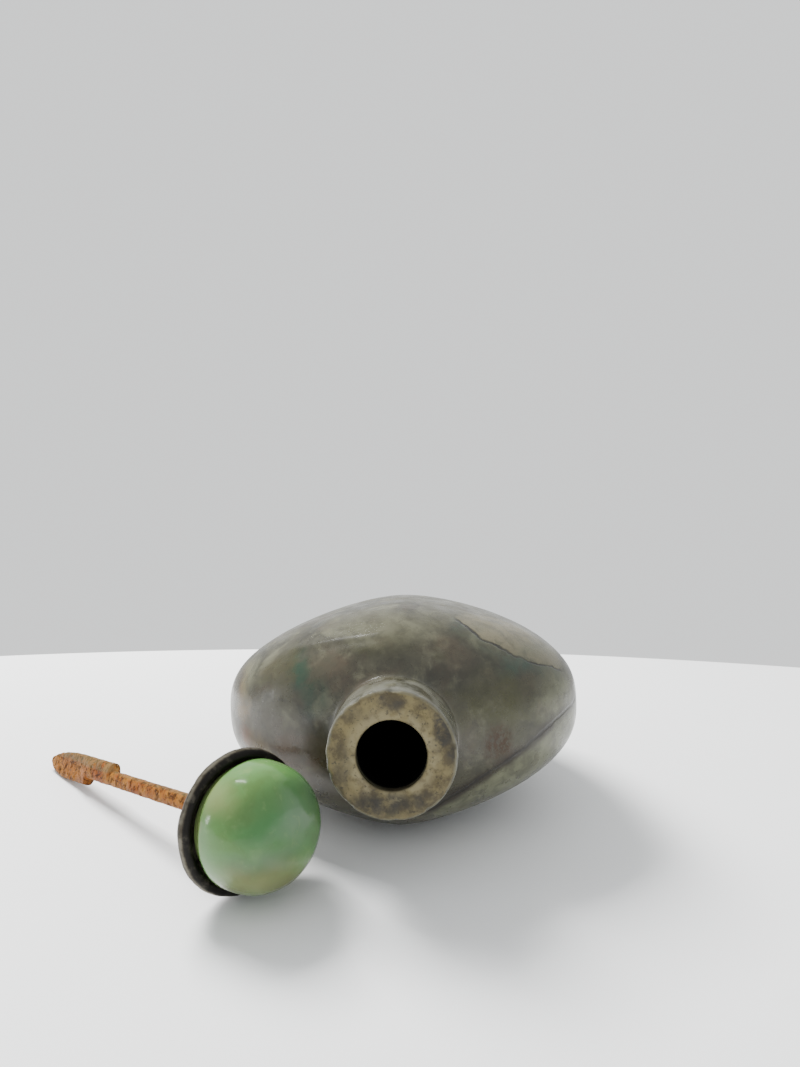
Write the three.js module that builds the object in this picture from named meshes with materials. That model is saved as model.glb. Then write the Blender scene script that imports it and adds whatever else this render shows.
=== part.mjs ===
// A carved stone snuff bottle lying on a broad face, with its stopper lying beside it.
// Millimetres, +Z up. The mouth faces -Y and the bottle's own axis runs back along +Y.
import * as THREE from "three";

// Bottle, measured along its own axis from the mouth face
const bottleLength = 57.5;
const bellyHalfWidth = 25;
const bellyHalfDepth = 14.9;
const bellyFromMouth = 24;
const shoulderReach = 17.6; // from the belly forward to the root of the neck
const bodyReach = 34.5; // from the belly back to where the body would close
const widthRoundness = 1.8; // of the shoulders, seen on the broad face
const depthRoundness = 2.8; // of the shoulders, seen on the narrow side
const backRoundness = 2.3; // of the body behind the belly
const sidePinch = 1.69; // 1 is an oval section, more pinches the two sides
const faceFullness = 0.76; // 1 is an oval section, less fills the broad faces
const ridgeSoftness = 0.5; // rounds the middle of the broad faces
const lipRadius = 7.6;
const lipRounding = 0.6;
const neckBlend = 7; // higher makes a tighter hollow under the neck

// Foot: a low oval pad
const footHalfWidth = 10.2;
const footHalfDepth = 6.2;
const footHeight = 2;

// Hollow
const boreRadius = 4;
const boreLength = 8;
const wall = 3.4;
const floorThickness = 4.5;

// How the bottle lies, degrees
const neckLift = 3.35;
const bottleRoll = -2.5;
const bottleTurn = -3.05;
const restFlatDepth = 0.35;

// Stopper: collar, stone and spoon share one axis, which starts at the collar's widest ring
const collarRadius = 8.2;
const collarBack = 2.4;
const collarRim = 0.9;
const seatRadius = 6.9;
const seatDepth = 1;
const stoneRadius = 7.2;
const stoneFoot = 6.5;
const stoneWaist = 2.1;
const stoneRise = 6.8;
const stemHalfWidth = 1.08;
const spoonLength = 52;
const bowlLength = 20.5; // along its upper side
const bowlSlant = 7; // its lower side begins this much later
const bowlHalfWidth = 2.1;
const bowlHalfDepth = 1.05;
const bowlHollow = 0.6;
const bowlRoll = -112; // about the stem; the hollow side looks forward and up
const stopperTurn = 47.6;
const stopperTilt = 7.53;
const collarAcross = -17.25; // from the middle of the mouth to the middle of the collar
const collarBehind = 1.1;
const gap = 0.3;

const { degToRad, lerp, clamp, smoothstep } = THREE.MathUtils;
const signedPower = (value, power) => Math.sign(value) * Math.abs(value) ** power;

function stone(color, roughness) {
  return new THREE.MeshStandardMaterial({ color, roughness, metalness: 0 });
}

// Closed skin over a stack of rings, with a middle point at each end.
function skin(rings) {
  const count = rings[0].length;
  const middle = (ring) => [0, 1, 2].map((k) => ring.reduce((sum, p) => sum + p[k], 0) / count);
  const points = [middle(rings[0]), ...rings.flat(), middle(rings.at(-1))];
  const at = (ring, step) => 1 + ring * count + (step % count);
  const last = rings.length - 1;
  const faces = [];
  for (let step = 0; step < count; step++) {
    faces.push(0, at(0, step + 1), at(0, step));
    for (let ring = 0; ring < last; ring++) {
      faces.push(at(ring, step), at(ring + 1, step + 1), at(ring + 1, step));
      faces.push(at(ring, step), at(ring, step + 1), at(ring + 1, step + 1));
    }
    faces.push(points.length - 1, at(last, step), at(last, step + 1));
  }
  const geometry = new THREE.BufferGeometry();
  geometry.setAttribute("position", new THREE.Float32BufferAttribute(points.flat(), 3));
  geometry.setIndex(faces);
  geometry.computeVertexNormals();
  return geometry;
}

// One ring square to the bottle's axis.
function ring(along, halfWidth, halfDepth, pinch = 1, fullness = 1, around = 64) {
  return Array.from({ length: around }, (_, step) => {
    const turn = (2 * Math.PI * step) / around;
    const side = Math.cos(turn);
    const ease = (side ** 2 + ridgeSoftness ** 2) / (1 + ridgeSoftness ** 2);
    const across = halfWidth * side * ease ** ((pinch - 1) / 2);
    return [across, along, halfDepth * signedPower(Math.sin(turn), fullness)];
  });
}

const spread = (from, to, count) =>
  Array.from({ length: count + 1 }, (_, i) => lerp(from, to, i / count));

// Half size of the swelling body at a distance from the mouth.
function swell(along, half, roundness) {
  const front = along < bellyFromMouth;
  const part = clamp(Math.abs(along - bellyFromMouth) / (front ? shoulderReach : bodyReach), 0, 1);
  const power = front ? roundness : backRoundness;
  return half * (1 - part ** power) ** (1 / power);
}

// Neck and shoulder run into each other through a hollow curve.
const neckAndBody = (body) => (lipRadius ** neckBlend + body ** neckBlend) ** (1 / neckBlend);

function bodyRing(along) {
  const lens = smoothstep(along, 6, 12.5) * (1 - 0.7 * smoothstep(along, bellyFromMouth, bottleLength));
  const front = along < bellyFromMouth ? neckAndBody : (body) => body;
  return ring(
    along,
    front(swell(along, bellyHalfWidth, widthRoundness)),
    front(swell(along, bellyHalfDepth, depthRoundness)),
    lerp(1, sidePinch, lens),
    lerp(1, faceFullness, lens),
  );
}

function footRings() {
  const start = bottleLength - footHeight;
  return [
    ring(bottleLength, footHalfWidth - 0.4, footHalfDepth - 0.4),
    ring(bottleLength - 0.4, footHalfWidth, footHalfDepth),
    ring(start + 0.5, footHalfWidth, footHalfDepth),
    ring(start, footHalfWidth + 0.5, footHalfDepth + 0.4),
  ];
}

// The hollow keeps the wall, opens out behind the bore and rounds off before the foot.
function hollowRing(along) {
  const deepest = bottleLength - floorThickness;
  const opening = smoothstep(along, boreLength, boreLength + 8);
  const back = clamp((along - bellyFromMouth) / (deepest - bellyFromMouth), 0, 1);
  const closing = Math.sqrt(1 - back ** 4);
  const halfWidth = Math.max(swell(along, bellyHalfWidth, widthRoundness) - wall, boreRadius);
  const halfDepth = Math.max(swell(along, bellyHalfDepth, depthRoundness) - wall, boreRadius);
  return ring(
    along,
    lerp(boreRadius, halfWidth, opening) * closing,
    lerp(boreRadius, halfDepth, opening) * closing,
    lerp(1, sidePinch, opening * 0.5),
  );
}

function bottleGeometry() {
  const bodyEnd = bottleLength - footHeight - 0.4;
  const round = lipRadius - lipRounding;
  const lip = spread(0, Math.PI / 2, 3)
    .reverse()
    .map((turn) => {
      const radius = round + lipRounding * Math.sin(turn);
      return ring(lipRounding * (1 - Math.cos(turn)), radius, radius);
    });
  return skin([
    ...footRings(),
    ...[0, ...spread(1.5, bodyEnd - 16, 10)].map((back) => bodyRing(bodyEnd - back)),
    ...[14.2, 12.6, 11.2, 10, 9, 8.2, 7.5, 6.9, 6.5, 6.2, 5, 3].map(bodyRing),
    ...lip,
    ring(0, boreRadius + 0.4, boreRadius + 0.4),
    ring(0.4, boreRadius, boreRadius),
    ...spread(boreLength / 2, boreLength, 1).map(hollowRing),
    ...spread(boreLength + 1.5, bellyFromMouth, 7).map(hollowRing),
    ...spread(bellyFromMouth + 4, 50, 6).map(hollowRing),
    ...[51.6, 52.6].map(hollowRing),
  ]);
}

// Pares away whatever lies lower than a depth above the lowest point, along the given up.
function withRestFlat(geometry, up, depth) {
  const place = geometry.getAttribute("position");
  const point = new THREE.Vector3();
  const heights = Array.from({ length: place.count }, (_, i) =>
    point.fromBufferAttribute(place, i).dot(up),
  );
  const flat = Math.min(...heights) + depth;
  heights.forEach((height, i) => {
    if (height >= flat) return;
    point.fromBufferAttribute(place, i).addScaledVector(up, flat - height);
    place.setXYZ(i, point.x, point.y, point.z);
  });
  geometry.computeVertexNormals();
  return flat;
}

function lathe(outline, around = 48) {
  return new THREE.LatheGeometry(
    outline.map(([radius, along]) => new THREE.Vector2(radius, along)),
    around,
  );
}

// A low metal cup: sloping back, rounded rim, and a shallow seat for the stone.
function collarGeometry() {
  const rim = spread(-Math.PI / 4, Math.PI / 2, 5).map((turn) => [
    collarRadius - collarRim * (1 - Math.cos(turn)),
    collarRim * Math.sin(turn),
  ]);
  return lathe([
    [0, -collarBack],
    [4.6, -collarBack],
    [6.8, -collarBack + 0.4],
    ...rim,
    [seatRadius, collarRim - 0.3],
    [seatRadius, collarRim - seatDepth],
    [0, collarRim - seatDepth],
  ]);
}

// A button of stone: short waist in the seat, then a full dome.
function stoneGeometry() {
  const bottom = collarRim - seatDepth + gap;
  const dome = spread(0, Math.PI / 2, 12).map((turn) => [
    stoneRadius * Math.cos(turn) ** 0.6,
    stoneWaist + stoneRise * Math.sin(turn) ** 0.85,
  ]);
  const foot = [[0, bottom], [stoneFoot, bottom], [stoneFoot, collarRim]];
  return lathe([...foot, ...dome.slice(0, -1), [0, stoneWaist + stoneRise]]);
}

// A stem of rounded-square section that steps out into a shallow blunt bowl, sooner on one side.
function spoonGeometry() {
  const start = collarBack + gap;
  const longSide = spoonLength - bowlLength;
  const shortSide = longSide + bowlSlant;
  const around = 20;
  const reach = (along, from) => clamp((along - from) / (spoonLength - from), 0, 1);
  const outline = (bowl) => (1 - clamp((bowl - 0.5) / 0.52, 0, 1) ** 2.2) ** 0.6;
  const sideWidth = (bowl) => (bowl > 0 ? bowlHalfWidth * outline(bowl) : stemHalfWidth);
  const section = (along) => {
    const bowl = reach(along, longSide);
    const taper = bowl > 0 ? outline(bowl) : 0;
    const halfDepth = bowl > 0 ? bowlHalfDepth * (0.45 + 0.55 * taper) : stemHalfWidth * 0.85;
    const dip = bowlHollow * taper * smoothstep(bowl, 0.3, 0.55);
    return Array.from({ length: around }, (_, step) => {
      const turn = (2 * Math.PI * step) / around;
      const halfWidth = sideWidth(reach(along, Math.cos(turn) > 0 ? shortSide : longSide));
      const across = halfWidth * signedPower(Math.cos(turn), 0.75);
      const level = halfDepth * signedPower(Math.sin(turn), 0.75);
      const hollow = level > 0 ? dip * (1 - (across / halfWidth) ** 2) : 0;
      return [across, -along, level - hollow];
    });
  };
  return skin([
    ...spread(start, longSide, 4).map(section),
    ...spread(longSide + 0.3, shortSide, 2).map(section),
    ...spread(shortSide + 0.3, spoonLength - 1.2, 7).map(section),
    ...[0.6, 0.25, 0].map((short) => section(spoonLength - short)),
  ]);
}

function piece(name, geometry, material) {
  const mesh = new THREE.Mesh(geometry, material);
  mesh.name = name;
  return mesh;
}

const object = new THREE.Group();
const laidOut = new THREE.Group();
object.add(laidOut);

// The bottle turns about the middle of its mouth, then rises until its flat meets z = 0.
const bottleTurned = new THREE.Group();
bottleTurned.rotation.set(degToRad(-neckLift), degToRad(bottleRoll), degToRad(bottleTurn), "ZXY");
const up = new THREE.Vector3(0, 0, 1).applyEuler(
  new THREE.Euler(degToRad(neckLift), degToRad(-bottleRoll), degToRad(-bottleTurn), "YXZ"),
);
const bottleShape = bottleGeometry();
const bottleFlat = withRestFlat(bottleShape, up, restFlatDepth);
bottleTurned.position.z = -bottleFlat;
bottleTurned.add(piece("bottle", bottleShape, stone(0x78766a, 0.3)));
laidOut.add(bottleTurned);

const stopper = new THREE.Group();
stopper.position.set(collarAcross, collarBehind, collarRadius * Math.cos(degToRad(stopperTilt)));
stopper.rotation.z = degToRad(stopperTurn);
const stopperAxis = new THREE.Group();
stopperAxis.rotation.x = Math.PI - degToRad(stopperTilt);
const metal = new THREE.MeshStandardMaterial({ color: 0x4a473f, roughness: 0.55, metalness: 0.8 });
stopperAxis.add(piece("stopper_collar", collarGeometry(), metal));
stopperAxis.add(piece("stopper_cabochon", stoneGeometry(), stone(0x8fb47c, 0.2)));
const spoon = piece("stopper_spoon", spoonGeometry(), stone(0xb07a3c, 0.75));
spoon.rotation.y = degToRad(bowlRoll);
stopperAxis.add(spoon);
stopper.add(stopperAxis);
laidOut.add(stopper);

// The origin sits under the middle of everything.
const middle = new THREE.Box3().setFromObject(laidOut, true).getCenter(new THREE.Vector3());
laidOut.position.set(-middle.x, -middle.y, 0);

export default object;
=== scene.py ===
import bmesh
import bpy
import math
from mathutils import Matrix, Vector


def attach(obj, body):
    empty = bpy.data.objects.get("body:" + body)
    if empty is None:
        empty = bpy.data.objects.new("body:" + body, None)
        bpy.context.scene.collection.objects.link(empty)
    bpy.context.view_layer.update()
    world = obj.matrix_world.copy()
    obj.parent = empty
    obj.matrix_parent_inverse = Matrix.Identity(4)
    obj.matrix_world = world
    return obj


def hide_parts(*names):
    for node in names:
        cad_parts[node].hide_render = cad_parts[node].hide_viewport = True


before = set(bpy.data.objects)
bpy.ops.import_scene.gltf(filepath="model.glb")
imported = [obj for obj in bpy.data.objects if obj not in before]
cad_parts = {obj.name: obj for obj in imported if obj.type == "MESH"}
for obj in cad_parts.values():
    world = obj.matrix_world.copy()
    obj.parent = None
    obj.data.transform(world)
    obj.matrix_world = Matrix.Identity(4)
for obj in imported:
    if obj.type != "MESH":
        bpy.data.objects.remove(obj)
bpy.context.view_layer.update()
mm = 0.001

# Camera, lights and room: places and sizes in mm

cameraSetup = {
    "place": (15.64, -106.0, 48.57),
    "pitch": 84.97,   # degrees, 90 is level
    "lens": 24.97,
    "sensor": 36,
}
lightSetup = {
    # soft main light up on the left and behind, with a small glint of its own
    "mainSoft": {"place": (-190, 250, 370), "aim": (0, 0, 10), "size": (190, 190), "power": 7.4},
    "highGlint": {"place": (-190, 130, 380), "aim": (0, 0, 10), "size": (14, 120), "power": 0.24},
    # low glint on the left
    "sideGlint": {"place": (-420, -40, 50), "aim": (0, -20, 10), "size": (20, 80), "power": 0.10},
    "mainColor": (1.0, 0.99, 0.97),
}
roomSetup = {"color": (0.60, 0.61, 0.612), "strength": 1.85}

camera = bpy.data.objects.new("camera", bpy.data.cameras.new("camera"))
bpy.context.scene.collection.objects.link(camera)
camera.location = Vector(cameraSetup["place"]) * mm
camera.rotation_euler = (math.radians(cameraSetup["pitch"]), 0, 0)
camera.data.lens = cameraSetup["lens"]
camera.data.sensor_width = cameraSetup["sensor"]
camera.data.clip_start = 5 * mm
bpy.context.scene.camera = camera


def areaLight(name, color=(1, 1, 1), glint=True):
    setup = lightSetup[name]
    place, aim = Vector(setup["place"]), Vector(setup["aim"])
    lamp = bpy.data.lights.new(name, "AREA")
    lamp.shape = "RECTANGLE"
    lamp.size, lamp.size_y = (side * mm for side in setup["size"])
    lamp.energy = setup["power"]
    lamp.color = color
    holder = bpy.data.objects.new(name, lamp)
    holder.visible_glossy = glint
    holder.location = place * mm
    holder.rotation_euler = (aim - place).to_track_quat("-Z", "Y").to_euler()
    bpy.context.scene.collection.objects.link(holder)


areaLight("mainSoft", lightSetup["mainColor"], glint=False)
areaLight("highGlint")
areaLight("sideGlint")

world = bpy.data.worlds.new("paleRoom")
world.use_nodes = True
world.node_tree.nodes["Background"].inputs["Color"].default_value = (*roomSetup["color"], 1)
world.node_tree.nodes["Background"].inputs["Strength"].default_value = roomSetup["strength"]
bpy.context.scene.world = world
print("camera, lights and room")


# Small helpers for outlines

def smoothStep(value, low, high):
    part = min(max((value - low) / (high - low), 0), 1)
    return part * part * (3 - 2 * part)


def mix(first, second, part):
    return first + (second - first) * part


def spread(low, high, count):
    return [low + (high - low) * i / count for i in range(count + 1)]


# Small helpers for node trees

def plug(tree, value, socket):
    if isinstance(value, bpy.types.NodeSocket):
        tree.links.new(value, socket)
    elif value is not None:
        socket.default_value = value


def addNode(tree, kind, settings=None, **inputs):
    node = tree.nodes.new(kind)
    for key, value in (settings or {}).items():
        setattr(node, key, value)
    for key, value in inputs.items():
        plug(tree, value, node.inputs[key.replace("_", " ")])
    return node


def calc(tree, operation, first, second=None, third=None):
    node = tree.nodes.new("ShaderNodeMath")
    node.operation = operation
    for value, socket in zip((first, second, third), node.inputs):
        plug(tree, value, socket)
    return node.outputs[0]


def times(tree, *values):
    total = values[0]
    for value in values[1:]:
        total = calc(tree, "MULTIPLY", total, value)
    return total


def rescale(tree, value, gain, base):
    return calc(tree, "MULTIPLY_ADD", value, gain, base)


def vectorCalc(tree, operation, first, second=None, scale=None):
    node = tree.nodes.new("ShaderNodeVectorMath")
    node.operation = operation
    for value, socket in zip((first, second), node.inputs):
        plug(tree, value, socket)
    if operation == "SCALE":
        plug(tree, scale, node.inputs["Scale"])
    return node.outputs["Value" if operation in ("DOT_PRODUCT", "LENGTH") else "Vector"]


def fade(tree, value, low, high):
    # 0 at low, 1 at high, soft at both ends
    node = addNode(tree, "ShaderNodeMapRange", {"interpolation_type": "SMOOTHSTEP"}, Value=value)
    node.inputs["From Min"].default_value = low
    node.inputs["From Max"].default_value = high
    return node.outputs["Result"]


def noiseNode(tree, place, scale, detail, roughness, seed):
    return addNode(
        tree, "ShaderNodeTexNoise", {"noise_dimensions": "4D"},
        Vector=place, W=seed, Scale=scale, Detail=detail, Roughness=roughness,
    )


# Helpers for surfaces

def newMaterial(name, **settings):
    material = bpy.data.materials.new(name)
    material.use_nodes = True
    tree = material.node_tree
    shader = tree.nodes["Principled BSDF"]
    for socket, value in settings.items():
        shader.inputs[socket.replace("_", " ")].default_value = value
    return material, tree, shader


def objectPlace(tree):
    return tree.nodes.new("ShaderNodeTexCoord").outputs["Object"]


def noise(tree, place, size, detail=3.0, roughness=0.5, seed=0.0):
    # size is the width of one blotch in mm
    return noiseNode(tree, place, 1000.0 / size, detail, roughness, seed).outputs[0]


def clouds(tree, place, size, detail, roughness, seed, low, high):
    # cloud cover from 0 to 1, where the noise goes from low to high
    return fade(tree, noise(tree, place, size, detail, roughness, seed), low, high)


def wander(tree, place, size, amount, seed):
    # shifts the place by a slow noise, amount in mm
    drift = noiseNode(tree, place, 1000.0 / size, 2.0, 0.5, seed).outputs[1]
    centred = vectorCalc(tree, "SUBTRACT", drift, (0.5, 0.5, 0.5))
    return vectorCalc(tree, "ADD", place, vectorCalc(tree, "SCALE", centred, scale=amount * mm * 2))


def patch(tree, place, middle, size, edge):
    # 1 inside an egg of the given half sizes in mm, fading to 0 over its edge
    moved = vectorCalc(tree, "SUBTRACT", place, Vector(middle) * mm)
    far = vectorCalc(tree, "LENGTH", vectorCalc(tree, "DIVIDE", moved, Vector(size) * mm))
    return fade(tree, far, 1 + edge * 0.5, 1 - edge * 0.5)


def paint(tree, under, over, share):
    node = addNode(tree, "ShaderNodeMix", {"data_type": "RGBA"})
    plug(tree, share, node.inputs[0])
    for value, socket in ((under, node.inputs[6]), (over, node.inputs[7])):
        plug(tree, (*value, 1) if isinstance(value, tuple) else value, socket)
    return node.outputs[2]


def sheetDistance(tree, place, through, normal):
    # signed distance from a sheet that cuts the stone, in mm
    moved = vectorCalc(tree, "SUBTRACT", place, Vector(through) * mm)
    return times(tree, vectorCalc(tree, "DOT_PRODUCT", moved, Vector(normal).normalized()), 1000.0)


def axisPlace(tree, place, middle, axis):
    # distance along an axis in mm, and the vector away from it in the object's own units
    moved = vectorCalc(tree, "SUBTRACT", place, Vector(middle) * mm)
    along = vectorCalc(tree, "DOT_PRODUCT", moved, axis)
    onAxis = vectorCalc(tree, "SCALE", tuple(axis), scale=along)
    return times(tree, along, 1000.0), vectorCalc(tree, "SUBTRACT", moved, onAxis)


def addRelief(tree, shader, strength, depth, height):
    bump = addNode(tree, "ShaderNodeBump", Strength=strength, Distance=depth * mm, Height=height)
    plug(tree, bump.outputs[0], shader.inputs["Normal"])


# Helpers for pieces

def bakeTree(holder, tree, values, name):
    # runs the tree on its holder and keeps the result as a plain mesh
    modifier = holder.modifiers.new("shape", "NODES")
    modifier.node_group = tree
    for item in tree.interface.items_tree:
        if item.in_out == "INPUT" and item.name in values:
            modifier[item.identifier] = values[item.name]
    ready = holder.evaluated_get(bpy.context.evaluated_depsgraph_get())
    mesh = bpy.data.meshes.new_from_object(ready)
    holder.modifiers.remove(modifier)
    bpy.data.objects.remove(holder)
    mesh.name = name
    piece = bpy.data.objects.new(name, mesh)
    bpy.context.scene.collection.objects.link(piece)
    return piece


def handIn(piece, node):
    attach(piece, "root")
    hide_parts(node)
    print(piece.name + ":", len(piece.data.polygons), "faces")


# Bottle, measured along its own axis from the mouth face, in mm

bottleShape = {
    "length": 57.5,
    "halfWidth": 25.0,
    "halfDepth": 14.9,
    "bellyFromMouth": 24.0,
    "shoulderReach": 17.6,
    "bodyReach": 34.5,
    "widthRoundness": 1.8,
    "depthRoundness": 2.8,
    "backRoundness": 2.3,
    "lensFrom": 6.0,        # the neck is round up to here
    "lensFull": 12.5,
    "sidePinch": 1.69,
    "faceFullness": 0.76,
    "ridgeSoftness": 0.5,
    "lipRadius": 7.6,
    "lipRounding": 0.6,
    "neckBlend": 7.0,
    "neckStart": 2.0,
    "fineFrom": 14.0,       # rings are closer from here to the mouth
    "footHalfWidth": 10.2,
    "footHalfDepth": 6.2,
    "footHeight": 2.0,
    "footRounding": 0.5,
    "footFlare": ((0.15, 0.12, 0.1), (0.0, 0.5, 0.4)),  # from the body, wider by, deeper by
    "boreRadius": 4.0,
    "boreRounding": 0.4,
    "boreLength": 8.0,
    "hollowOpening": 8.0,   # length over which the bore opens out
    "wall": 3.4,
    "floorThickness": 4.5,
    "neckLift": 3.35,       # degrees
    "roll": -2.5,
    "turn": -3.05,
    "mouthAt": (14.6580, -24.9447, 16.1649),
    "around": 288,
    "unevenness": 0.05,     # hand-ground ripple
    "ripplesPerMetre": 90.0,
    "pitDepth": 0.05,
    "pitsPerMetre": 900.0,
    "creaseMiddle": (-7.85, 12.41, 11.43),
    "creaseFacing": (-0.079, -0.724, -0.685),
    "creaseHeight": 0.14,
    "creaseHalfWidth": 1.3,
    "creaseReach": (5, 11),
    "nickDepth": 0.16,
    "nicksPerMetre": 620.0,
    "seed": 4.0,
}


def swell(along, half, roundness):
    shape = bottleShape
    front = along < shape["bellyFromMouth"]
    reach = shape["shoulderReach"] if front else shape["bodyReach"]
    power = roundness if front else shape["backRoundness"]
    part = min(abs(along - shape["bellyFromMouth"]) / reach, 1)
    return half * (1 - part ** power) ** (1 / power)


def bodyStation(along):
    shape = bottleShape
    rounder = 1 - 0.7 * smoothStep(along, shape["bellyFromMouth"], shape["length"])
    lens = smoothStep(along, shape["lensFrom"], shape["lensFull"]) * rounder
    halfWidth = swell(along, shape["halfWidth"], shape["widthRoundness"])
    halfDepth = swell(along, shape["halfDepth"], shape["depthRoundness"])
    if along < shape["bellyFromMouth"]:
        blend = shape["neckBlend"]
        halfWidth, halfDepth = (
            (shape["lipRadius"] ** blend + half ** blend) ** (1 / blend) for half in (halfWidth, halfDepth)
        )
    return along, halfWidth, halfDepth, mix(1, shape["sidePinch"], lens), mix(1, shape["faceFullness"], lens)


def hollowStation(along):
    shape = bottleShape
    belly = shape["bellyFromMouth"]
    deepest = shape["length"] - shape["floorThickness"]
    opening = smoothStep(along, shape["boreLength"], shape["boreLength"] + shape["hollowOpening"])
    closing = math.sqrt(1 - min(max((along - belly) / (deepest - belly), 0), 1) ** 4)
    bore, wall = shape["boreRadius"], shape["wall"]
    halfWidth = max(swell(along, shape["halfWidth"], shape["widthRoundness"]) - wall, bore)
    halfDepth = max(swell(along, shape["halfDepth"], shape["depthRoundness"]) - wall, bore)
    pinch = mix(1, shape["sidePinch"], opening * 0.5)
    return along, mix(bore, halfWidth, opening) * closing, mix(bore, halfDepth, opening) * closing, pinch, 1


def footStations():
    # from the middle of the foot face out over its rounded edge to the body
    shape = bottleShape
    length, foot, rounding = shape["length"], shape["footHeight"], shape["footRounding"]
    wide, deep = shape["footHalfWidth"], shape["footHalfDepth"]
    stations = [(length, wide * part, deep * part, 1, 1) for part in (0, 0.25, 0.5, 0.75, 0.9)]
    for turn in spread(0, math.pi / 2, 4):
        inset = rounding * (1 - math.sin(turn))
        stations.append((length - rounding * (1 - math.cos(turn)), wide - inset, deep - inset, 1, 1))
    stations += [(length - 2 * rounding, wide, deep, 1, 1), (length - foot + rounding, wide, deep, 1, 1)]
    for back, wider, deeper in shape["footFlare"]:
        stations.append((length - foot + back, wide + wider, deep + deeper, 1, 1))
    return stations


def bottleStations():
    # one ring each: along, half width, half depth, two powers for the section, and 1 in the hollow
    shape = bottleShape
    lip, rounding, bore, boreEdge = (
        shape[name] for name in ("lipRadius", "lipRounding", "boreRadius", "boreRounding")
    )
    fine, bodyEnd = shape["fineFrom"], shape["length"] - shape["footHeight"] - 0.4
    stations = footStations()
    stations += [bodyStation(bodyEnd - back) for back in spread(0, bodyEnd - fine, 90)]
    stations += [bodyStation(along) for along in spread(fine - 0.3, shape["neckStart"], 44)]
    for turn in spread(math.pi / 2, 0, 5):
        radius = lip - rounding * (1 - math.sin(turn))
        stations.append((rounding * (1 - math.cos(turn)), radius, radius, 1, 1))
    for radius in spread(lip - rounding - 0.25, bore + boreEdge + 0.25, 9):
        stations.append((0, radius, radius, 1, 1))
    outside = len(stations)
    for turn in spread(0, math.pi / 2, 4):
        radius = bore + boreEdge * (1 - math.sin(turn))
        stations.append((boreEdge * (1 - math.cos(turn)), radius, radius, 1, 1))
    deepest = shape["length"] - shape["floorThickness"]
    stations += [hollowStation(along) for along in spread(1.2, deepest - 3, 40)]
    stations += [hollowStation(deepest - short) for short in (1.8, 0.9, 0.4, 0.15, 0.03)]
    stations.append((deepest, 0, 0, 1, 1))
    return [(*station, int(i > outside)) for i, station in enumerate(stations)]


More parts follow.
